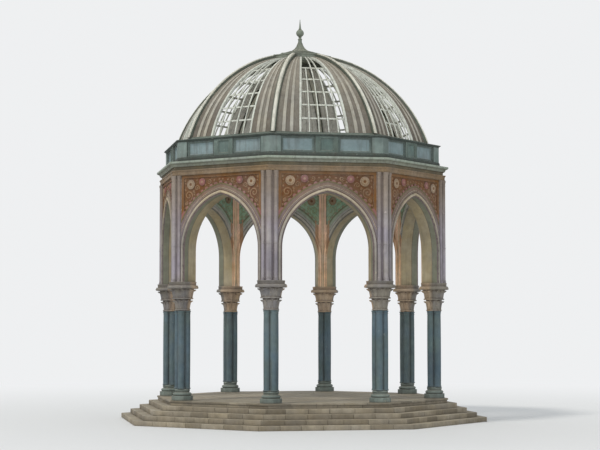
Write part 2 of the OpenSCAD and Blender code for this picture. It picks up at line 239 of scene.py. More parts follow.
class Paint(Nodes):
    """One material."""

    def __init__(self, name):
        self.mat = bpy.data.materials.new(name)
        self.mat.use_nodes = True
        super().__init__(self.mat.node_tree)
        self.bsdf = self.tree.nodes["Principled BSDF"]
        geometry = self.node("NewGeometry").outputs
        self.place = geometry["Position"]
        self.facing = geometry["Normal"]
        self.flat_facing = geometry["True Normal"]

    def noise(self, scale, detail=4, rough=0.55, stretch=None, distortion=0):
        vector = self.vector("MULTIPLY", self.place, stretch)[0] if stretch else self.place
        made = self.node("TexNoise", {"Vector": vector, "Scale": scale, "Detail": detail,
                                      "Roughness": rough, "Distortion": distortion})
        return Value(self, made.outputs["Fac"])

    def patches(self, scale, first, second, low=0.4, high=0.62, most=1, detail=4, rough=0.55):
        """One colour with patches of a second one."""
        return self.mix(self.noise(scale, detail, rough).span(low, high, 0, most), first, second)

    def faded(self, first, second):
        """Broad, soft patches."""
        return self.patches(1.3, first, second, 0.38, 0.64, rough=0.6)

    def bands(self, value, starts, colours):
        """Steps of colour along a value from 0 to 1."""
        made = self.node("ValToRGB", {0: value})
        ramp = made.color_ramp
        ramp.interpolation = "CONSTANT"
        while len(ramp.elements) < len(starts):
            ramp.elements.new(0.5)
        for element, start, colour in zip(ramp.elements, starts, colours):
            element.position = start
            element.color = colour
        return made.outputs[0]

    def tone(self):
        """The tone that each stone, board, leaf or shaft was given."""
        return Value(self, self.node("Attribute", attribute_name="tone").outputs["Fac"])

    def hollow(self, distance):
        """1 in the open, less in corners and hollows."""
        return Value(self, self.node("AmbientOcclusion", {"Distance": distance}, samples=6).outputs["AO"])

    def bay(self, shift=0):
        """Position in the nearest bay: along the wall, outward from the centre, height, and radius.
        A shift of HALF gives the same for the nearest pier."""
        x, y, z = self.parts(self.place)
        angle = self.math("ARCTAN2", y, x) - shift
        rest = angle - self.math("ROUND", self.math("DIVIDE", angle, 2 * HALF)) * (2 * HALF)
        radius = self.length(x, y)
        return radius * self.math("SINE", rest), radius * self.math("COSINE", rest), z, radius

    def weather_and_shade(self, colour, rough=0.82, grain=1, wear=CREAM, drips=0.3, dust=0.35, relief=0, chips=0):
        """Weathers a base colour: rain streaks, painted shade in corners, dust on top, edges rubbed pale.
        """
        mottle = self.noise(0.8).span(0.3, 0.7, 0.8, 1.12)
        patch = self.noise(5.5, 5, 0.6).span(0.3, 0.7, 0.86, 1.1)
        speck = self.noise(90, 2).span(0.25, 0.75, 0.93, 1.06)
        faint = self.noise(1.7, 3).span(0.3, 0.7, 0.82, 1.1)
        changes = {"Color": colour, "Value": mottle * patch * speck, "Saturation": faint}
        tinted = self.node("HueSaturation", changes).outputs[0]
        streak = self.noise(1, 5, 0.6, RAIN).span(0.5, 0.72, 0, drips)
        # Painted shade: corners and hollows found by ambient occlusion are darkened toward the same dark
        # colour
        corner = self.hollow(0.22).span(0.25, 0.9, 0.55, 0)
        up = self.parts(self.facing)[2]
        lying = up.span(0.55, 0.95, 0, dust) * self.noise(3.1).span(0.3, 0.6, 0.5, 1)
        rounded = self.node("Bevel", {"Radius": 0.018}, samples=4).outputs[0]
        edge = self.dot(rounded, self.facing).span(0.8, 0.985, 0.35, 0) * self.noise(14).span(0.42, 0.6)
        for share, over in ((streak, DIRT_AND_SHADE), (corner, DIRT_AND_SHADE), (lying, rgb(148, 138, 118)), (edge, wear)):
            tinted = self.mix(share, tinted, over)
        height = self.noise(38, 5, 0.65) * (0.5 * grain) + self.noise(6) * (0.8 * grain)
        if chips:
            flake = self.noise(9, 8, 0.72, distortion=0.5).span(0.63 - chips, 0.665 - chips)
            flake *= self.noise(1.15, 3).span(0.5, 0.64)
            tinted = self.mix(flake * 0.6, tinted, wear)
            height -= flake * 0.35
        bump = self.node("Bump", {"Strength": 0.55, "Distance": 0.006, "Height": height + relief})
        dull = self.noise(9, 3).span(0.3, 0.7, rough - 0.1, rough + 0.1)
        self.fill(self.bsdf, {"Base Color": tinted, "Roughness": dull, "Normal": bump.outputs[0],
                              "Specular IOR Level": 0.3})
        return self.mat


# Materials

def stone_paint(name, light, dark, **more):
    """Dressed stone with pits. Each stone has its own tone."""
    paint = Paint(name)
    colour = paint.mix(paint.tone(), light, dark)
    colour = paint.patches(2.6, colour, dark, 0.4, 0.68, 0.6, 5, 0.62)
    cells = paint.node("TexVoronoi", {"Vector": paint.place, "Scale": 70}).outputs["Distance"]
    pits = Value(paint, cells).span(0, 0.16, -0.5, 0)
    return paint.weather_and_shade(colour, rough=0.86, wear=rgb(196, 187, 168), relief=pits, **more)


def plain_paint(name, colour, second, **more):
    paint = Paint(name)
    return paint.weather_and_shade(paint.faded(colour, second), **more)


def wood_paint(name, colour, second, chips=0.01, wear=rgb(150, 132, 104), flank_shade=None):
    """Paint worn along the grain. The hip ribs have painted shade on the flanks beside their crest."""
    paint = Paint(name)
    grain = paint.noise(1, 5, 0.7, WOOD_GRAIN)
    base = paint.mix(grain.span(0.42, 0.66, 0, 0.55), colour, second)
    if flank_shade:
        # Painted shade: the flanks beside the crest take the darker pair of colours
        crest = abs(paint.bay(HALF)[0]) < CREST_HALF
        base = paint.mix(crest, paint.mix(grain.span(0.42, 0.66), *flank_shade), base)
    return paint.weather_and_shade(base, rough=0.66, grain=0.5, relief=grain * 0.5, chips=chips, wear=wear)


def inner_orange(paint, z):
    """The orange of the inner piers and of the strips beside them, pinker toward the top."""
    colour = paint.mix(z.span(SPRING_Z, BEAM_Z - 0.9), rgb(244, 206, 168), rgb(246, 202, 174))
    return paint.patches(1.4, colour, rgb(206, 164, 130), 0.42, 0.62, 0.5)


def pier_paint():
    """Lilac-grey outside and orange inside. Outside, the darker core between the shafts is painted shade.
    """
    paint = Paint("pier_limewash")
    _, _, z, radius = paint.bay()
    tone = paint.tone()
    high = z.span(SPRING_Z + 0.5, BEAM_Z - 0.5)
    # Outside, the core's darker lilac is painted shade in the recesses between the shafts
    core = paint.patches(1.1, LILAC_DEEP, rgb(132, 122, 126))
    core = paint.mix(high, core, rgb(122, 108, 98))
    shafts = paint.patches(1.1, rgb(160, 153, 160), rgb(164, 157, 153))
    shafts = paint.mix(high, shafts, rgb(144, 131, 118))
    outer = paint.mix(tone, core, shafts)
    inner = paint.mix(tone * 0.8, inner_orange(paint, z), rgb(222, 204, 168))
    colour = paint.mix(radius > PIER_R, inner, outer)
    return paint.weather_and_shade(colour, chips=0.02, drips=0.34, wear=rgb(190, 180, 170))


def capital_paint():
    """Beige outside and brown inside, with painted shade in the hollows between the leaves."""
    paint = Paint("capital_limewash")
    radius = paint.bay()[3]
    outer = paint.faded(rgb(126, 121, 111), rgb(119, 116, 117))
    outer = paint.mix(paint.tone() * 0.4, outer, rgb(154, 144, 127))
    inner = paint.faded(rgb(186, 162, 134), rgb(168, 144, 120))
    colour = paint.mix(radius.span(PIER_R - 0.12, PIER_R + 0.02), inner, outer)
    # Painted shade: the hollows between the leaves are darkened by ambient occlusion
    colour = paint.mix(paint.hollow(0.1).span(0.45, 0.9, 0.6, 0), colour, rgb(86, 72, 62))
    return paint.weather_and_shade(colour, chips=0.01, wear=rgb(188, 174, 152))


def arch_paint():
    """Painted bands round the opening, the field over it, and the medallions."""
    paint = Paint("arch_limewash")
    along, out, z, _ = paint.bay()
    side = abs(along)
    wobble = paint.noise(11, 3).span(0.2, 0.8, -0.004, 0.004)
    off = paint.length(side + ARC_SHIFT, paint.math("MAXIMUM", z - SPRING_Z, 0)) - ARC_R + wobble
    side_off = side + wobble
    outside = out > AXIS_AP
    sunk = abs(out - AXIS_AP) < WALL_T / 2 - FIELD_D / 2

    thin_line = 0.205
    line_end = ARCHIVOLT_W + LINE_W + 0.004
    scallop_end = line_end + SCALLOP_R + 0.01
    starts = (0, JAMB_W - EDGE_W - 0.002, JAMB_W + 0.002, JAMB_W + 0.018, thin_line, thin_line + 0.012,
              thin_line + 0.023, ARCHIVOLT_W - 0.008, line_end, scallop_end)

    def rings(strip, rim, dark, band, thin, band_2, line=OLIVE, lobes=PINK, rest=TOP_ORANGE):
        """The colours from the opening outward."""
        return paint.bands(off, starts, (strip, rim, dark, band, thin, dark, band_2, line, lobes, rest))

    low_bands = rings(STRIP, rgb(150, 143, 134), SHADE, rgb(130, 121, 126), CREAM, LILAC_DEEP)
    high_bands = rings(STRIP, CREAM, SHADE, rgb(130, 112, 99), CREAM, rgb(132, 108, 92))
    raised_out = paint.mix(z.span(SPRING_Z + 0.4, SPRING_Z + ARCH_RISE), low_bands, high_bands)
    raised_in = rings(rgb(139, 138, 130), rgb(186, 180, 170), rgb(114, 116, 102), rgb(184, 184, 178),
                      rgb(191, 184, 168), rgb(168, 182, 163), rgb(124, 132, 104), rgb(158, 146, 130),
                      rgb(148, 160, 126))
    strip_in = paint.mix(side_off.span(ARCH_HALF + 0.004, ARCH_HALF + 0.01), rgb(188, 148, 116),
                         inner_orange(paint, z))
    raised_in = paint.mix(side_off > ARCH_HALF - 0.115, raised_in, strip_in)
    raised = paint.mix(outside, raised_in, raised_out)

    field_out = paint.patches(2.2, FIELD, rgb(107, 67, 40), high=0.6)
    field_in = paint.patches(2.2, rgb(168, 194, 165), rgb(147, 178, 151), high=0.6)
    field = paint.mix(outside, field_in, field_out)
    # Painted lines follow the arch across the field
    echo_step, echo_w = 0.075, 0.011
    echo = paint.math("PINGPONG", off - scallop_end, echo_step)
    field = paint.mix((echo < echo_w) * 0.45, field, OLIVE)
    colour = paint.mix(sunk, raised, field)

    on_face = paint.math("SUBTRACT", 1, sunk)
    for (u, mid_z, r), tint, heart in ((ROSETTE, ROSE, FIELD), (ROUNDEL, PINK, ROSE)):
        far = paint.length(side - u, z - mid_z)
        disc = paint.mix(far < r * 0.5 + 0.003, tint, heart)
        colour = paint.mix((far < r + 0.004) * on_face, colour, disc)

    lining_at = AXIS_AP + 0.1
    edge_at = out + wobble
    lining = paint.mix(edge_at.span(lining_at, lining_at + 0.006), rgb(166, 152, 122), rgb(128, 128, 110))
    lining = paint.mix(edge_at.inside(lining_at - 0.012, lining_at + 0.003), lining, rgb(104, 92, 76))
    colour = paint.mix(sunk * (off < 0.03), colour, lining)
    return paint.weather_and_shade(colour, chips=0.012, drips=0.26, wear=rgb(188, 172, 150))


def scroll_paint():
    """A shade paler than the field on each side of the wall."""
    paint = Paint("scroll_limewash")
    out = paint.bay()[1]
    outer = paint.faded(rgb(146, 112, 80), rgb(130, 96, 66))
    inner = paint.faded(rgb(176, 188, 154), rgb(158, 170, 138))
    return paint.weather_and_shade(paint.mix(out > AXIS_AP, inner, outer))


def beam_paint():
    """Light tan fillet, with the recess over it painted olive-brown as painted shade."""
    paint = Paint("beam_limewash")
    _, out, z, _ = paint.bay()
    light = paint.faded(rgb(135, 114, 89), rgb(124, 104, 80))
    dark = paint.patches(1.9, rgb(124, 112, 88), rgb(108, 100, 80), high=0.6)
    inner = paint.patches(1.3, rgb(150, 136, 108), rgb(128, 118, 94), rough=0.6)
    # The recess over the fillet gets the darker colour: painted shade
    colour = paint.mix(z > BEAM_Z + FILLET_H + 0.002, light, dark)
    return paint.weather_and_shade(paint.mix(out < AXIS_AP, colour, inner), drips=0.34, chips=0.008)


def attic_paint():
    """Pale blue-grey sunk panels in darker green-grey frames, between a dark plinth and coping."""
    paint = Paint("attic_limewash")
    along, out, z, _ = paint.bay()
    low = out < DIE_AP - DIE_OUT - PANEL_D / 2
    wall = out < DIE_AP - DIE_OUT / 2
    middle = abs(along) < MID_DIE_W / 2 - 0.001
    dies = paint.patches(1.9, rgb(124, 137, 131), rgb(110, 124, 118))
    centre = paint.patches(1.9, rgb(97, 111, 104), rgb(92, 106, 98))
    edges = paint.patches(1.9, rgb(67, 76, 71), rgb(68, 78, 73))
    frames = paint.patches(2.4, rgb(97, 111, 106), rgb(86, 99, 94))
    panels = paint.patches(1.6, rgb(135, 151, 152), rgb(121, 139, 140))
    small = paint.patches(1.6, rgb(101, 118, 112), rgb(89, 104, 99))
    inner = paint.patches(1.9, rgb(150, 156, 146), rgb(132, 140, 130))
    colour = paint.mix(low, paint.mix(wall, dies, frames), panels)
    colour = paint.mix(middle, colour, paint.mix(wall, centre, small))
    bed = z.inside(ATTIC_Z + PLINTH_H + 0.002, CURB_Z - COPING_H - 0.002)
    colour = paint.mix(bed, edges, colour)
    colour = paint.mix(out < ATTIC_IN + 0.02, colour, inner)
    return paint.weather_and_shade(colour, chips=0.01, drips=0.42, wear=rgb(176, 184, 174))


def cornice_paint():
    """Pale green-grey, with a paler flat edge over the hollow moulding, which is darker as painted shade.
    """
    paint = Paint("cornice_limewash")
    z = paint.bay()[2]
    hollow = paint.patches(1.6, rgb(132, 135, 121), rgb(127, 130, 114))
    edge = paint.patches(1.6, rgb(148, 156, 143), rgb(141, 150, 135))
    # The hollow under the flat edge is a little darker: painted shade
    colour = paint.mix(z > ATTIC_Z - CORNICE_EDGE_H, hollow, edge)
    return paint.weather_and_shade(colour, drips=0.44, chips=0.01, wear=rgb(200, 202, 192))


def board_paint():
    """Old paint over boards: brown outside, more faded above, and pale inside."""
    paint = Paint("board_paint")
    z = paint.bay()[2]
    fade_low, fade_high = 10, 11.4
    colour = paint.mix(paint.tone(), rgb(104, 97, 87), rgb(128, 124, 112))
    faded = z.span(fade_low, fade_high) * paint.noise(1.2).span(0.35, 0.6, 0.4, 1)
    colour = paint.mix(faded, colour, rgb(153, 147, 134))
    grain = paint.noise(1, 6, 0.7, BOARD_GRAIN)
    worn = grain.span(0.46, 0.66, 0, 0.7)
    colour = paint.mix(worn, colour, rgb(100, 86, 71))
    inside = paint.mix(worn, rgb(236, 234, 226), rgb(206, 200, 186))
    # Faces that look toward the middle of the dome are on the inside
    from_middle = paint.vector("SUBTRACT", paint.place, (0, 0, FACE_Z))[0]
    colour = paint.mix(paint.dot(from_middle, paint.flat_facing) < -0.5, colour, inside)
    return paint.weather_and_shade(colour, rough=0.74, grain=0.6, relief=grain * 0.8, wear=rgb(198, 186, 164))


MAT = {
    "step": stone_paint("step_limestone", rgb(170, 159, 138), rgb(128, 118, 100), dust=0.5, drips=0.2),
    "floor": stone_paint("floor_limestone", rgb(160, 150, 130), rgb(120, 112, 96), dust=0.45, drips=0.1),
    "joint": plain_paint("mortar", rgb(96, 88, 74), rgb(76, 70, 60)),
    "base": plain_paint("base_limewash", rgb(128, 136, 128), rgb(108, 118, 112), chips=0.02),
    "column": plain_paint("column_limewash", rgb(88, 105, 114), rgb(94, 109, 108), chips=0.012, drips=0.34,
                          wear=rgb(160, 166, 160)),
    "capital": capital_paint(),
    "pier": pier_paint(),
    "arch": arch_paint(),
    "fillet": beam_paint(),
    "cornice": cornice_paint(),
    "attic": attic_paint(),
    "curb": plain_paint("curb_limewash", rgb(108, 120, 110), rgb(90, 102, 94)),
    # The rib's second pair of colours is painted shade for its flanks
    "rib": wood_paint("rib_paint", rgb(214, 212, 198), rgb(186, 180, 162), wear=rgb(170, 160, 136),
                      flank_shade=(rgb(92, 100, 88), rgb(72, 78, 68))),
    "batten": wood_paint("batten_paint", rgb(164, 160, 147), rgb(156, 145, 127), wear=rgb(136, 120, 98)),
    "board": board_paint(),
    "bar": wood_paint("bar_paint", rgb(206, 208, 196), rgb(158, 160, 146)),
    "zinc": wood_paint("crown_paint", rgb(126, 132, 118), rgb(98, 104, 94), 0.015),
    "petal_cream": plain_paint("petal_cream", rgb(164, 143, 118), rgb(154, 130, 102)),
    "petal_pink": plain_paint("petal_pink", rgb(146, 98, 92), rgb(134, 84, 80)),
    "scroll": scroll_paint(),
}


# Points and paths

def spaced(low, high, n):
    """Numbers over n even steps, with both ends."""
    return [low + (high - low) * k / n for k in range(n + 1)]


def arc(cx, cz, r, start, end, n, rz=None):
    """Points on an arc, or on an ellipse with a half height of rz. Angles in degrees."""
    angles = spaced(radians(start), radians(end), n)
    return [(cx + r * cos(a), cz + (rz or r) * sin(a)) for a in angles]


def spiral(cy, cz, r0, r1, start, sweep, n=22):
    """Points winding from radius r0 to r1 about a middle. Angles in degrees."""
    angles = spaced(radians(start), radians(start + sweep), n)
    return [(cy + r * cos(a), cz + r * sin(a)) for r, a in zip(spaced(r0, r1, n), angles)]


def half_round(r, z, size, n=8):
    """Half-round moulding standing out from radius r, as profile points going up."""
    return arc(r, z + size, size, -90, 90, n)


def octagon(ap):
    return arc(0, 0, ap / cos(HALF), 22.5, 337.5, SIDES - 1)


def ways(path):
    """Share of the way, place and direction at each point of a path."""
    n = len(path) - 1
    for i, (a, b) in enumerate(path):
        (a0, b0), (a1, b1) = path[max(i - 1, 0)], path[min(i + 1, n)]
        yield i / n, a, b, Vector((a1 - a0, b1 - b0)).normalized()


# Solids, each as its corners and faces

def skin(rows, loop=False, caps=True):
    """Solid over rows of points that each run once round it. With loop, the last row joins the first."""
    n, m = len(rows), len(rows[0])
    verts = [point for row in rows for point in row]
    faces = []
    for i in range(n if loop else n - 1):
        here, after = i * m, (i + 1) % n * m
        for j in range(m):
            q = (j + 1) % m
            faces.append((here + j, here + q, after + q, after + j))
    if caps and not loop:
        faces += [tuple(range(m - 1, -1, -1)), tuple(range((n - 1) * m, n * m))]
    return verts, faces


def plate(front, back):
    """Solid between a front and a back grid of points, given as rows."""
    w = 2 * len(front[0])
    last = (len(front) - 1) * w
    verts, faces = skin([a + b[::-1] for a, b in zip(front, back)], caps=False)
    for j in range(w // 2 - 1):
        end = (j + 1, j, w - 1 - j, w - 2 - j)
        faces += [end, tuple(last + i for i in end[::-1])]
    return verts, faces


def lathe(profile, n=32, r=0):
    """Solid turned about Z from (distance beyond r, height) points."""
    ring = arc(0, 0, 1, 0, 360, n)[:-1]
    return skin([[((r + out) * x, (r + out) * y, z) for x, y in ring] for out, z in profile])


def octagonal(profile, ap=0, base=0, loop=True):
    """Octagonal ring from (distance beyond ap, height over base) points, or a solid without loop."""
    return skin([[(x, y, base + z) for x, y in octagon(ap + out)] for out, z in profile], loop)


def prism(outline, z0, z1):
    """Solid over a plan outline that runs anticlockwise."""
    return skin([[(x, y, z) for x, y in outline] for z in (z0, z1)])


def block(x0, x1, y0, y1, z0, z1):
    return prism([(x0, y0), (x1, y0), (x1, y1), (x0, y1)], z0, z1)


# Places

def shift(x=0, y=0, z=0):
    return Matrix.Translation((x, y, z))


def spin(angle, axis="Z"):
    return Matrix.Rotation(angle, 4, axis)


def mirror(side):
    """Turns side -1 over to negative Y."""
    return Matrix.Diagonal((1, side, 1, 1))


def turned(k):
    """Turn about Z to bay k, whose outward direction is then X."""
    return spin(2 * HALF * k - pi / 2)


def pier_places(z):
    """Number of each pier and its axis at height z, with X outward."""
    for k in range(SIDES):
        yield k + 1, turned(k + 0.5) @ shift(PIER_R, 0, z)


def wall_faces(lift=0):
    """The outer and the inner face of the wall in each bay: X stands out of it, Y runs along it."""
    for k in range(SIDES):
        for turn in (0, pi):
            yield turned(k) @ shift(AXIS_AP) @ spin(turn) @ shift(WALL_T / 2 + lift)


# Mesh making

def add_object(name, data):
    made = bpy.data.objects.new(name, data)
    bpy.context.collection.objects.link(made)
    return made


def soften(made, width, segments):
    """Rounds the edges of a piece."""
    rounding = made.modifiers.new("rounding", "BEVEL")
    rounding.width = width
    rounding.segments = segments
    rounding.limit_method = "ANGLE"
    rounding.angle_limit = radians(30)


class Shape:
    """Gathers solids into one mesh. Each face keeps a tone from 0 to 1."""

    def __init__(self):
        self.verts = []
        self.faces = []
        self.tones = []

    def add(self, solid, tone=0.5, move=Matrix.Identity(4)):
        """Adds a moved solid. A move that mirrors it turns its faces to look outward again."""
        verts, faces = solid
        base = len(self.verts)
        order = -1 if move.determinant() < 0 else 1
        self.verts.extend(tuple(move @ Vector(v)) for v in verts)
        self.faces.extend(tuple(base + i for i in face)[::order] for face in faces)
        self.tones.extend([tone] * len(faces))
        return self

    def build(self, name, material, slot, node=None, bevel=0, segments=2, smooth=35):
        """Makes the piece, which stands for a node where one is named."""
        mesh = bpy.data.meshes.new(name)
        mesh.from_pydata(self.verts, [], self.faces)
        mesh.attributes.new("tone", "FLOAT", "FACE").data.foreach_set("value", self.tones)
        mesh.materials.append(MAT[material])
        mesh.shade_smooth()
        mesh.set_sharp_from_angle(angle=radians(smooth))
        made = add_object(name, mesh)
        if bevel:
            soften(made, bevel, segments)
        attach(made, "root")
        if node:
            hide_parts(node)


# Stone courses

def side_stones(shape, ap_out, ap_in, z0, z1, count, lift=0.002):
    """One octagonal course of separate stones, mitred at the corners."""

    def end(edge, into):
        """Where a stone ends along its outer and its inner side."""
        inner_ap = ap_in if abs(edge) == 1 else ap_out
        return [edge * ap * tan(HALF) + into * JOINT / 2 for ap in (ap_out, inner_ap)]

    for k in range(SIDES):
        nudged = [i + random.uniform(-0.16, 0.16) for i in range(1, count)]
        cuts = [-1] + [-1 + 2 * i / count for i in nudged] + [1]
        for a, b in zip(cuts, cuts[1:]):
            (y0, i0), (y1, i1) = end(a, 1), end(b, -1)
            front = ap_out + random.uniform(-0.004, 0)
            top = z1 - random.uniform(0, lift)
            outline = [(ap_in, i0), (front, y0), (front, y1), (ap_in, i1)]
            shape.add(prism(outline, z0, top), random.random(), turned(k))


def make_steps():
    """Four courses of stones over a bedding that closes their joints."""
    bedding = Shape()
    tread = 0.36
    for i, ap in enumerate(STEP_APS):
        stones = Shape()
        side_stones(stones, ap, ap - tread, i * RISER, (i + 1) * RISER, 7 - i // 2)
        name = "%d" % (i + 1)
        stones.build("step_stones_" + name, "step", "step_stone", "step_" + name, bevel=0.011, segments=3)
        bedding.add(prism(octagon(ap - 0.02), i * RISER + 0.001, (i + 1) * RISER - 0.012))
    bedding.build("step_bedding", "joint", "step_stone")


def make_floor():
    """Rings of flags on the top course."""
    flags, under = Shape(), Shape()
    flag_t, gap = 0.06, 0.002
    rings = [FLOOR_AP, 4.06, 3.4, 2.72, 2.04, 1.36, 0.68]
    for outer, inner, count in zip(rings, rings[1:], (5, 5, 4, 3, 3, 2)):
        side_stones(flags, outer, inner + JOINT, FLOOR_Z - flag_t, FLOOR_Z, count, 0.0015)
    flags.add(prism(octagon(rings[-1] - JOINT), FLOOR_Z - flag_t, FLOOR_Z - 0.001), 0.3)
    flags.build("floor_flags", "floor", "floor_stone", "floor_slab", bevel=0.006)
    side_stones(under, FLOOR_AP - 0.03, FLOOR_AP - 0.4, FLOOR_Z - RISER, FLOOR_Z - flag_t - gap, 5)
    under.build("floor_riser_stones", "step", "floor_stone", bevel=0.01)
    bed = prism(octagon(FLOOR_AP - 0.05), FLOOR_Z - RISER + 0.001, FLOOR_Z - 0.012)
    Shape().add(bed).build("floor_bedding", "joint", "floor_stone")


# Columns

def make_column_bases():
    """An octagonal block under two rolls with a hollow between them."""
    blocks, mouldings = Shape(), Shape()
    block_half, block_h, waist, collar = 0.32, 0.15, 0.21, 0.036
    h = BASE_TOP - FLOOR_Z
    profile = [(0.02, block_h - 0.002)] + half_round(0.036, block_h, 0.05) + [(0.03, 0.252)]
    profile += arc(0.046, 0.272, 0.026, 240, 120, 6) + [(0.01, 0.292)]
    profile += half_round(0, h - 2 * collar, collar) + [(-0.04, h + 0.001)]
    for _, at in pier_places(FLOOR_Z):
        blocks.add(prism(octagon(block_half), 0, block_h), random.random(), at)
        mouldings.add(lathe(profile, 48, waist), move=at)
    blocks.build("base_blocks", "base", "base_stone", "column_bases", bevel=0.012, segments=3)
    mouldings.build("base_mouldings", "base", "base_stone", smooth=40)


def make_columns():
    """Four shafts in a cluster, each with a foot, a slight swell and a head."""
    r, offset = 0.108, 0.102
    h = CAPITAL_Z - BASE_TOP
    profile = [(0.016, 0)] + half_round(0.002, 0.004, 0.017, 6) + [(0.001, 0.044)]
    profile += [(0.004 * sin(pi * t), 0.07 + (h - 0.18) * t) for t in spaced(0, 1, 8)[:-1]]
    profile += [(-0.002, h - 0.11)] + half_round(-0.001, h - 0.1, 0.011, 5)
    profile += [(-0.002, h - 0.07), (0.004, h - 0.045), (0.014, h - 0.03), (0.016, h)]
    core = 0.6 * offset
    for k, at in pier_places(BASE_TOP):
        column = Shape()
        for x in (-offset, offset):
            for y in (-offset, offset):
                column.add(lathe(profile, r=r), random.random(), at @ shift(x, y))
        column.add(block(-core, core, -core, core, 0, h), move=at)
        column.build("column_shafts_%d" % k, "column", "column_paint", "column_%d" % k)


# Capitals

def leaf(width, height, out, curl, foot_r):
    """A stiff leaf that rises along a bell and rolls over at its tip. X is outward, Z up."""
    front, back = [], []
    for t in spaced(0, 1, 11):
        tip = max(0, t - 0.66)
        spread = width * sin(pi * (0.2 + 0.64 * t)) ** 0.7 * (1 - 2.4 * tip ** 2)
        if t == 1:
            spread *= 0.7
        radius = foot_r + out * t ** 1.6 + curl * tip ** 1.2
        z = height * (t - 2.6 * tip ** 2)
        row = []
        for s in spaced(-1, 1, 6):
            rib = 0.2 * width * (1 - abs(s)) ** 2
            bend = 0.34 * width * s * s
            lobe = 1 + 0.1 * cos(7 * pi * t) * abs(s)
            row.append((radius + rib - bend, s * spread * lobe, z))
        thick = 0.014 + 0.03 * t ** 4
        front.append(row)
        back.append([(x - thick, y * 0.96, z - 0.9 * thick) for x, y, z in row])
    return plate(front, back)


def make_capitals():
    """A bell with leaves in a tier below its band and two above, then the abacus and the impost."""
    neck, bulb, band, flare = 0.06, 0.31, 0.045, 0.29
    z1 = neck + bulb
    z2 = z1 + band
    z3 = z2 + flare
    bell = [(0.21, 0)] + half_round(0.228, 0.004, 0.026) + [(0.214, neck)]
    bell += [(0.212 + 0.055 * t ** 2, neck + bulb * t) for t in spaced(0, 1, 4)[1:]]
    bell += half_round(0.318, z1, band / 2)
    bell += [(0.292 + 0.08 * t ** 2, z2 + flare * t) for t in spaced(0, 1, 4)]
    abacus = [(0.4, -0.004), (0.455, 0.004), (0.465, 0.016), (0.465, 0.062), (0.45, 0.074), (0.444, 0.105),
              (0.4, 0.107)]
    h = PIER_Z - CAPITAL_Z - z3
    impost = [(0.38, 0.1), (0.4, 0.112), (0.402, h - 0.03), (0.41, h - 0.022), (0.41, h)]
    body = [lathe(bell, 40)] + [octagonal(profile, base=z3, loop=False) for profile in (abacus, impost)]
    tiers = [(leaf(0.08, bulb * 1.15, 0.084, 0.075, 0.224), neck, 0),
             (leaf(0.098, flare * 1.24, 0.094, 0.09, 0.3), z2 - 0.006, HALF),
             (leaf(0.052, flare * 1.12, 0.09, 0.05, 0.292), z2, 0)]
    for k, at in pier_places(CAPITAL_Z):
        head = Shape()
        for solid in body:
            head.add(solid, move=at)
        for blade, z, turn in tiers:
            for i in range(SIDES):
                head.add(blade, random.random(), at @ shift(z=z) @ spin(turn + 2 * HALF * i))
        head.build("capital_carved_%d" % k, "capital", "capital_paint", "capital_%d" % k, smooth=50)


# Upper piers

def make_piers():
    """A six-sided core with a shaft on its two corners and one in front of each outer flank."""
    h = BEAM_Z - PIER_Z
    t = WALL_T / 2
    corner = t / cos(HALF)
    along = Vector((-sin(HALF), cos(HALF))) * PIER_HALF
    out = Vector((cos(HALF), sin(HALF))) * t
    (ox, oy), (ix, iy) = along + out, along - out
    core = [(corner, 0), (ox, oy), (ix, iy), (-corner, 0), (ix, -iy), (ox, -oy)]
    stand, ring_z, flank_r = 0.016, 1.12, 0.062
    foot = [(stand, 0), (stand, 0.042)] + half_round(0.002, 0.046, 0.014, 6) + [(0.001, 0.082)]
    foot += half_round(0, 0.086, 0.01, 5) + [(0, 0.12)]
    ring = [(0, ring_z)] + half_round(0, ring_z + 0.005, 0.013, 6) + [(0, ring_z + 0.04)]
    head = [(0, h - 0.19)] + half_round(0, h - 0.186, 0.01, 5) + [(0, h - 0.15)]
    head += [(0.004, h - 0.1), (0.012, h - 0.062), (stand, h - 0.055), (stand, h)]
    places = [(shift(corner - stand), 0.084, 0.9), (shift(-corner), 0.046, 0.6)]
    for s in (-1, 1):
        beside = s * (PIER_HALF - flank_r - stand - 0.006)
        places.append((spin(s * HALF) @ shift(t, beside), flank_r, 0.65))
    for k, at in pier_places(PIER_Z):
        # Tone 0 gives the core the darker colour, painted as shade between the shafts
        pier = Shape().add(prism(core, 0, h), 0, at)
        for move, r, tone in places:
            shaft = lathe(foot + ring + head, 28, r)
            pier.add(shaft, min(1, tone + random.uniform(-0.2, 0.2)), at @ move)
        pier.build("pier_shafts_%d" % k, "pier", "pier_paint", "pier_%d" % k)


# Ornament of the arched screens

def petal(length, width, height, n=6, m=4):
    """A raised teardrop petal from the middle outward along Y, standing out along X."""
    front = []
    for t in spaced(0, 1, n):
        half = width * sin(pi * t ** 0.75) * 0.5 + 0.002
        rise = height * (0.35 + 0.65 * sin(pi * t ** 0.8))
        front.append([(rise * (1 - s * s) - 0.05 * height, length * (0.22 + 0.78 * t), s * half)
                      for s in spaced(1, -1, m)])
    return plate(front, [[(-0.004, y, z) for x, y, z in row] for row in front])


def ring_bead(r, size):
    """A round bead bent into a ring that lies on the wall."""
    section = arc(r, 0, size, 0, 360, 6, 0.9 * size)[:-1]
    turns = arc(0, 0, 1, 0, 360, 28)[:-1]
    return skin([[(x, at * c, at * s) for at, x in section] for c, s in turns], loop=True)


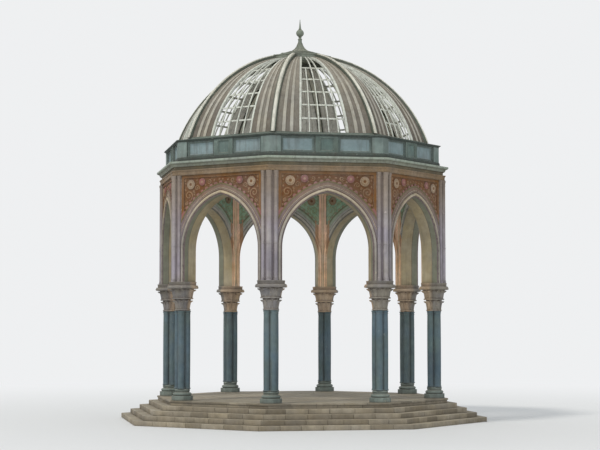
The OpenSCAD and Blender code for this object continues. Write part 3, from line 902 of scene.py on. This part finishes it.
def make_flowers():
    """Petals inside a ring bead on each medallion."""
    kinds = [("rosettes", ROSETTE, 12, "petal_cream"), ("roundels", ROUNDEL, 8, "petal_pink")]
    for name, (u, z, r), petals, material in kinds:
        flowers = Shape()
        blade = petal(0.92 * r, 5.244 * r / petals, 0.022)
        for face in wall_faces():
            for s in (-1, 1):
                at = face @ shift(0, s * u, z)
                for i in range(petals):
                    flowers.add(blade, random.random(), at @ spin(2 * pi * i / petals, "X"))
                flowers.add(ring_bead(r - 0.008, 0.009), move=at)
        flowers.build(name, material, "arch_paint", smooth=60)


def stem(path):
    """A rounded stem that swells and thins again, on the wall along (y, z) points."""
    rows = []
    for t, y, z, way in ways(path):
        r = 0.007 + 0.014 * sin(pi * (0.06 + 0.84 * t) ** 0.75)
        section = arc(0, 0, r, 0, -360, 8)[:-1]
        rows.append([(0.95 * up, y - way.y * side, z + way.x * side) for side, up in section])
    return skin(rows)


def make_scrolls():
    """Winding stems with leaves in each spandrel, mirrored about the arch's point."""
    scrolls = Shape()
    # Heights count from the underside of the beam
    spirals = [
        spiral(1.27, -0.652, 0.165, 0.028, 265, -520, 30),
        spiral(1.365, -0.895, 0.064, 0.016, 95, 430, 18),
        spiral(0.945, -0.422, 0.092, 0.02, 200, -450),
        spiral(1.405, -0.16, 0.04, 0.012, 250, 380, 16),
        spiral(0.455, -0.228, 0.082, 0.018, 330, -430),
    ]
    # Place along the wall, height and turn of each leaf
    leaves = [(1.12, -0.64, 165), (1.13, -0.56, 138), (1.39, -0.535, 82), (1.405, -0.985, -80),
              (1.36, -0.33, 60), (0.945, -0.235, 90), (1.03, -0.5, -60), (0.33, -0.205, 180),
              (0.13, -0.18, 180), (0.56, -0.3, -35)]
    eye = lathe(arc(0, -0.002, 0.021, 0, 72, 4, 0.022) + [(0.002, 0.02)], 14)
    blade = petal(0.11, 0.07, 0.026, 5, 3)
    for ground in wall_faces(-FIELD_D):
        for s in (-1, 1):
            half = ground @ mirror(s) @ shift(z=BEAM_Z)
            for path in spirals:
                scrolls.add(stem(path), move=half)
                scrolls.add(eye, move=half @ shift(0, *path[-1]) @ spin(pi / 2, "Y"))
            for y, z, turn in leaves:
                scrolls.add(blade, move=half @ shift(0, y, z) @ spin(radians(turn), "X"))
    scrolls.build("spandrel_scrolls", "scroll", "arch_paint", smooth=60)


def arch_moulding(profile, jamb):
    """Strip that follows the arch, from (distance from the opening, height over the wall) points.
    With jamb, it runs on down to the pier's foot."""
    sides = []
    for off, up in profile:
        r = ARC_R + off
        path = [(ARCH_HALF + off, PIER_Z + 0.001)] if jamb else []
        start = 0 if jamb else acos((PANEL_HALF + ARC_SHIFT) / r)
        path += arc(-ARC_SHIFT, SPRING_Z, r, degrees(start), degrees(acos(ARC_SHIFT / r)), 30)
        sides.append([(up, y, z) for y, z in path])
    rows = [list(row) for row in zip(*sides)]
    rows += [[(x, -y, z) for x, y, z in row] for row in rows[-2::-1]]
    return skin(rows)


def make_arch_mouldings():
    """A roll on the raised edge of each opening, a bead inside it and three on the bands beside it."""
    mid, roll_half, ground = JAMB_W - EDGE_W / 2, 0.027, -0.004
    roll = arc(mid, ROLL_OUT, roll_half, 0, 180, 8, 0.02)
    roll += [(mid - roll_half, ROLL_OUT + ground), (mid + roll_half, ROLL_OUT + ground)]
    strips = [arch_moulding(roll, True)]
    for at, r in ((0.02, 0.01), (0.158, 0.013), (0.211, 0.011), (0.288, 0.01)):
        bead = arc(at, 0, r, 0, 180, 5, 0.9 * r) + [(at - r, ground), (at + r, ground)]
        strips.append(arch_moulding(bead, at < JAMB_W))
    trims = Shape()
    for face in wall_faces():
        for strip in strips:
            trims.add(strip, move=face)
    trims.build("arch_mouldings", "arch", "arch_paint", smooth=40)


# Beam, cornice and attic

def make_beam():
    """The architrave with its bead, fascia and shaded recess."""
    h, back = CORNICE_Z - BEAM_Z, -WALL_T - 0.04
    profile = [(back, 0), (0.046, 0)] + half_round(0.046, 0.002, 0.013, 6)
    profile += [(0.05, 0.032), (0.05, 0.1), (0.058, 0.104), (0.06, 0.126)]
    profile += arc(0.06, 0.148, 0.018, -90, 0, 4, 0.022) + [(0.078, 0.163), (0.066, 0.17), (-0.004, 0.176)]
    profile += arc(0.026, 0.236, 0.03, 180, 90, 4, 0.036) + [(0.026, h), (back, h), (back, 0.17)]
    profile += [(back + 0.014, 0.155), (back + 0.014, 0.03), (back, 0.02)]
    ring = Shape().add(octagonal(profile, WALL_OUT, BEAM_Z))
    ring.build("architrave_profile", "fillet", "fillet_paint", "architrave", smooth=32)


def make_cornice():
    """A hollow moulding under a flat edge, with a small bead below each."""
    h, back = ATTIC_Z - CORNICE_Z, ATTIC_IN - WALL_OUT
    profile = [(back, 0), (0.046, 0), (0.058, 0.006), (0.058, 0.02)]
    profile += arc(0.144, 0.024, 0.078, 180, 90, 7, 0.07)
    profile += [(0.15, 0.098), (0.15, 0.108), (0.165, 0.114), (0.165, 0.16), (0.158, 0.169), (0.06, h),
                (back, h)]
    ring = Shape().add(octagonal(profile, WALL_OUT, CORNICE_Z))
    ring.build("cornice_profile", "cornice", "cornice_paint", "cornice", bevel=0.003, segments=1, smooth=32)


def panel_rim(x, y0, y1, z0, z1, w=0.034, d=0.026):
    """A moulding round a sunk panel's edge, standing out from its ground at x."""
    rows = []
    for inset, lift in ((0, 0), (0, d), (w * 0.45, d), (w, 0.004), (w, -0.002), (0, -0.002)):
        a, b, low, high = y0 + inset, y1 - inset, z0 + inset, z1 - inset
        rows.append([(x + lift, a, low), (x + lift, b, low), (x + lift, b, high), (x + lift, a, high)])
    return skin(rows, loop=True)


def make_attic():
    """The panelled band: plinth, corner dies, framed panels and coping."""
    d, h = DIE_AP, CURB_Z - ATTIC_Z
    wall = d - DIE_OUT
    ground = wall - PANEL_D
    bed0, bed1 = PLINTH_H, h - COPING_H
    profile = [(ATTIC_IN - d, 0), (0.03, 0), (0.03, 0.096), (0.02, 0.102), (0.02, 0.11)]
    profile += arc(0, 0.112, 0.02, 0, 90, 5, 0.028)
    profile += [(ground - d, bed0), (ground - d, bed1), (-0.002, bed1)]
    profile += arc(0.032, bed1 + 0.004, 0.028, 180, 90, 5, 0.024)
    profile += [(0.034, bed1 + 0.036), (0.05, bed1 + 0.038), (0.06, bed1 + 0.046), (0.06, h - 0.01),
                (0.052, h - 0.003), (-0.06, h), (ATTIC_IN - d, h)]
    lifted = shift(z=ATTIC_Z)
    band = Shape().add(octagonal(profile, d), move=lifted)
    half = d * tan(HALF)
    side = half - DIE_W
    back, sink = ground - 0.005, 0.002
    low, high = bed0 + RAIL_H, bed1 - RAIL_H

    def bar(at, front, y0, y1, foot, top):
        band.add(block(back, front, y0, y1, foot - sink, top + sink), move=at)

    def framed(at, front, sunk, y0, p0, p1, y1):
        """A frame from y0 to y1 round a panel from p0 to p1."""
        bar(at, front, y0, p0, bed0, bed1)
        bar(at, front, p1, y1, bed0, bed1)
        bar(at, front, p0, p1, bed0, low)
        bar(at, front, p0, p1, high, bed1)
        band.add(panel_rim(sunk, p0, p1, low, high), move=at)

    m, p = MID_DIE_W / 2, MID_PANEL_W / 2
    for k in range(SIDES):
        at, after = turned(k), turned(k + 1)
        raised = lifted @ at
        for y0, y1 in ((-side, -m), (m, side)):
            framed(raised, wall, ground, y0, y0 + STILE_W, y1 - STILE_W, y1)
        bar(raised, d - PANEL_D, -p - 0.01, p + 0.01, bed0, bed1)
        framed(raised, d, d - PANEL_D, -m, -p, p, m)
        # One die round each corner, square to both of its sides
        corners = [(at, back, side), (at, d, side), (at, d, half), (after, d, -side), (after, back, -side),
                   (at, back, back * tan(HALF))]
        outline = [(move @ Vector((x, y, 0))).xy for move, x, y in corners]
        band.add(prism(outline, bed0 - sink, bed1 + sink), move=lifted)
    band.build("attic_band", "attic", "attic_paint", "attic", bevel=0.005, smooth=32)


# Dome

def make_curb():
    """The ring under the dome, with a hollow between its edge and the boards."""
    h, back = DOME_Z - CURB_Z, ATTIC_IN - FOOT_AP
    profile = [(back, 0), (0.05, 0), (0.05, 0.044), (0.042, 0.052)]
    profile += arc(0.042, 0.086, 0.024, 270, 180, 5, 0.03) + [(0.018, h), (back, h)]
    ring = Shape().add(octagonal(profile, FOOT_AP, CURB_Z))
    ring.build("dome_curb_profile", "curb", "curb_paint", "dome_curb", bevel=0.003, segments=1, smooth=32)


def make_boards():
    """Boards from each open gore to its hips, with battens over their joints."""
    boards, battens = Shape(), Shape()
    gap, batten_half = 0.004, 0.075
    low = degrees(asin((DOME_Z - FACE_Z) / DOME_R))
    high = degrees(acos(CROWN_HALF / DOME_R))

    def edge(x, share):
        """Distance from the bay's middle at a share of the way from the gore to the hip."""
        gore = x * tan(GORE_A)
        hip = x * tan(HALF) - RIB_W / 2 / cos(HALF)
        return gore + (hip - gore) * share

    def strip(share0, share1, narrow, out, thick):
        rows = []
        outer, inner = [arc(0, FACE_Z, DOME_R + up, low, high, 22) for up in (out, out - thick)]
        for (x, z), (xi, zi) in zip(outer, inner):
            a, b = edge(x, share0) + narrow, edge(x, share1) - narrow
            rows.append([(x, a, z), (x, b, z), (xi, b, zi), (xi, a, zi)])
        return skin(rows)

    for k in range(SIDES):
        for s in (-1, 1):
            at = turned(k) @ mirror(s)
            for b in range(BOARDS):
                tone = random.choice((0.05, 0.15, 0.3, 0.55, 0.8)) + random.uniform(-0.05, 0.1)
                out = -0.006 + random.uniform(-0.003, 0.003)
                boards.add(strip(b / BOARDS, (b + 1) / BOARDS, gap, out, BOARD_T), tone, at)
            for b in range(1, BOARDS):
                batten = strip(b / BOARDS - batten_half, b / BOARDS + batten_half, 0, 0.012, 0.02)
                battens.add(batten, random.uniform(0.8, 1), at)
    boards.build("dome_planks", "board", "board_wood", "dome_boards", bevel=0.004, segments=1)
    battens.build("dome_battens", "batten", "board_wood", bevel=0.005)


def seam(path, width, height, sink=0.004):
    """A raised seam along a path of (distance from the axis, height) points, square to it."""
    corners = ((-sink, -1), (-sink, 1), (height, 0.7), (height, -0.7))
    return skin([[(r + way.y * up, side * width / 2, z - way.x * up) for up, side in corners]
                 for _, r, z, way in ways(path)])


def make_crown():
    """The ring at the dome's top with its lid in seamed sheets, and the swept cap under the finial."""
    low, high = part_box("crown")
    lifted = shift(z=low.z)
    half, step_half, cap_r, neck, foot, bore = CROWN_HALF, 0.7, 0.48, 0.062, 0.07, 0.1
    lid, cap_z = 0.24, 0.33
    ring = [(-0.06, 0), (-0.014, 0), (-0.014, 0.03), (-0.004, 0.044), (-0.004, 0.058), (-0.016, 0.068),
            (-0.016, lid - 0.046), (-0.002, lid - 0.036), (0, lid - 0.028), (0, lid - 0.008),
            (-0.008, lid), (bore - half, lid), (bore - half, lid - 0.06), (-0.06, lid - 0.06)]
    step = [(bore - step_half, -0.03), (-0.01, -0.03), (-0.01, 0.05), (0, 0.058), (0, 0.084),
            (-0.006, cap_z - lid), (bore - step_half, cap_z - lid)]
    rim = [(-0.03, lid - cap_z - 0.05), (-0.008, 0), (-0.008, 0.036), (0, 0.044), (0, 0.062),
           (-0.008, foot)]
    bell = arc(0, high.z - low.z - cap_z, cap_r - neck, 270, 180, 14)[1:]
    crown = Shape().add(octagonal(ring, half), 0.5, lifted)
    crown.add(octagonal(step, step_half, lid), 0.7, lifted)
    crown.add(lathe(rim + bell, 48, cap_r), 0.3, lifted @ shift(z=cap_z))
    for i in range(2 * SIDES):
        on_corner = i % 2 == 1
        reach = 1 / cos(HALF) if on_corner else 1
        lines = [([(half * reach - 0.032, lid), (step_half * reach - 0.01, lid)], 0.026, 0.013),
                 ([(step_half * reach - 0.03, cap_z), (cap_r - 0.01, cap_z)], 0.026, 0.013)]
        if on_corner:
            corner = (half - 0.016) * reach
            lines.append(([(corner, 0.07), (corner, lid - 0.045)], 0.034, 0.014))
        for line in lines:
            crown.add(seam(*line), 0.6, lifted @ spin(i * HALF))
    cap_seam = seam([(cap_r + x, cap_z + z) for x, z in [(-0.012, foot)] + bell[:-2]], 0.02, 0.012)
    for i in range(12):
        crown.add(cap_seam, 0.6, lifted @ spin(pi * i / 6))
    crown.build("crown_sheets", "zinc", "crown_zinc", "crown", bevel=0.003, segments=1, smooth=32)


def make_finial():
    """A turned neck, knob and point."""
    low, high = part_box("finial")
    h = high.z - low.z
    r, neck = 0.13, 0.062
    ball_z = 0.12 + r
    profile = [(neck, 0), (neck, 0.02)] + half_round(neck, 0.024, 0.012, 6)
    profile += [(neck * 0.8, 0.06), (neck * 0.7, 0.085)] + half_round(neck * 0.75, 0.09, 0.01, 6)
    profile += [(neck * 0.7, 0.118)] + arc(0, ball_z, r, -62, 66, 20)
    profile += half_round(0.046, ball_z + r * 0.93, 0.01, 6)
    profile += [(0.04, ball_z + r + 0.03), (0.03, ball_z + r + 0.1), (0.017, ball_z + r + 0.22),
                (0.006, h - 0.012), (0.0015, h)]
    knob = Shape().add(lathe(profile, 40), move=shift(z=low.z))
    knob.build("finial_turned", "zinc", "finial_zinc", "finial", smooth=40)


def dress_nodes():
    """Paints the CAD nodes that keep their own shape, and softens their edges."""
    dressed = [("arch_panel_%d" % k, "arch", 0.008, 2) for k in range(1, SIDES + 1)]
    dressed += [("dome_ribs", "rib", 0.012, 2), ("dome_rails", "bar", 0.006, 2)]
    dressed += [(node, "bar", 0.005, 1) for node in ("dome_bars", "dome_rings")]
    for node, material, width, segments in dressed:
        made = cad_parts[node]
        made.data.materials.clear()
        made.data.materials.append(MAT[material])
        weld = made.modifiers.new("weld", "WELD")
        weld.merge_threshold = 0.0002
        soften(made, width, segments)


# Studio

def direction(azimuth, elevation):
    """Toward a point seen from the middle. Azimuth 0 is the front, and both are in radians."""
    flat = cos(elevation)
    return Vector((sin(azimuth) * flat, -cos(azimuth) * flat, sin(elevation)))


def aim(made, way, axis):
    """Turns an object so that its own axis points along way."""
    made.rotation_mode = "QUATERNION"
    made.rotation_quaternion = way.to_track_quat(axis, "Y")


def make_ground():
    """A pale floor that fades into the backdrop and keeps the shadow."""
    size, fade_from, fade_to = 120, 8, 34
    mesh = bpy.data.meshes.new("studio_floor")
    corners = [(-size, -size, 0), (size, -size, 0), (size, size, 0), (-size, size, 0)]
    mesh.from_pydata(corners, [], [(0, 1, 2, 3)])
    add_object("studio_floor", mesh)
    paint = Paint("studio_floor")
    paint.fill(paint.bsdf, {"Base Color": (0.66, 0.66, 0.65, 1), "Roughness": 0.9})
    away = paint.vector("LENGTH", paint.place)["Value"]
    fade = paint.node("MapRange", {0: away, 1: fade_from, 2: fade_to}, interpolation_type="SMOOTHSTEP")
    glow = paint.node("Emission", {0: BACKDROP})
    share = paint.math("MULTIPLY", fade.outputs[0], paint.seen_rays())
    both = paint.node("MixShader", {0: share, 1: paint.bsdf.outputs[0], 2: glow.outputs[0]})
    paint.fill(paint.tree.nodes["Material Output"], {0: both.outputs[0]})
    mesh.materials.append(paint.mat)


def make_world():
    """Soft light from all round, with the backdrop behind it."""
    world = bpy.data.worlds.new("studio")
    bpy.context.scene.world = world
    world.use_nodes = True
    nodes = Nodes(world.node_tree)
    soft = nodes.tree.nodes["Background"]
    nodes.fill(soft, {0: (0.92, 0.96, 1, 1), 1: 0.74})
    seen = nodes.node("Background", {0: BACKDROP})
    both = nodes.node("MixShader", {0: nodes.seen_rays(), 1: soft.outputs[0], 2: seen.outputs[0]})
    nodes.fill(nodes.tree.nodes["World Output"], {0: both.outputs[0]})


def make_lamps():
    """A warm key lamp and two cool ones: azimuth, elevation, strength and spread of each."""
    warm, cool = (1, 0.965, 0.91), (0.9, 0.95, 1)
    lamps = [("key", warm, -62, 52, 1.3, 9), ("front", cool, -4, 3, 1.05, 24),
             ("back", cool, 190, 25, 0.5, 60)]
    for name, colour, azimuth, elevation, strength, spread in lamps:
        lamp = bpy.data.lights.new(name, "SUN")
        lamp.energy = strength
        lamp.angle = radians(spread)
        lamp.color = colour
        aim(add_object(name, lamp), direction(radians(azimuth), radians(elevation)), "Z")


def make_camera():
    """The photograph's viewing angle, with the whole height in the frame."""
    azimuth, distance, eye_z = radians(-11.1), 54.2, 3.2
    lens = bpy.data.cameras.new("camera")
    lens.lens = 97
    lens.clip_end = 400
    camera = add_object("camera", lens)
    camera.location = distance * direction(azimuth, 0) + Vector((0, 0, eye_z))
    top = atan((TOP_Z - eye_z) / distance)
    bottom = atan(-eye_z / (distance - STEP_APS[0]))
    middle = Vector((0, 0, eye_z + distance * tan((top + bottom) / 2)))
    aim(camera, middle - camera.location, "-Z")
    bpy.context.scene.camera = camera
    bpy.context.scene.view_settings.view_transform = "Standard"


make_ground()
make_world()
make_lamps()
make_camera()
dress_nodes()
make_steps()
make_floor()
make_column_bases()
make_columns()
make_capitals()
make_piers()
make_flowers()
make_scrolls()
make_arch_mouldings()
make_beam()
make_cornice()
make_attic()
make_curb()
make_boards()
make_crown()
make_finial()
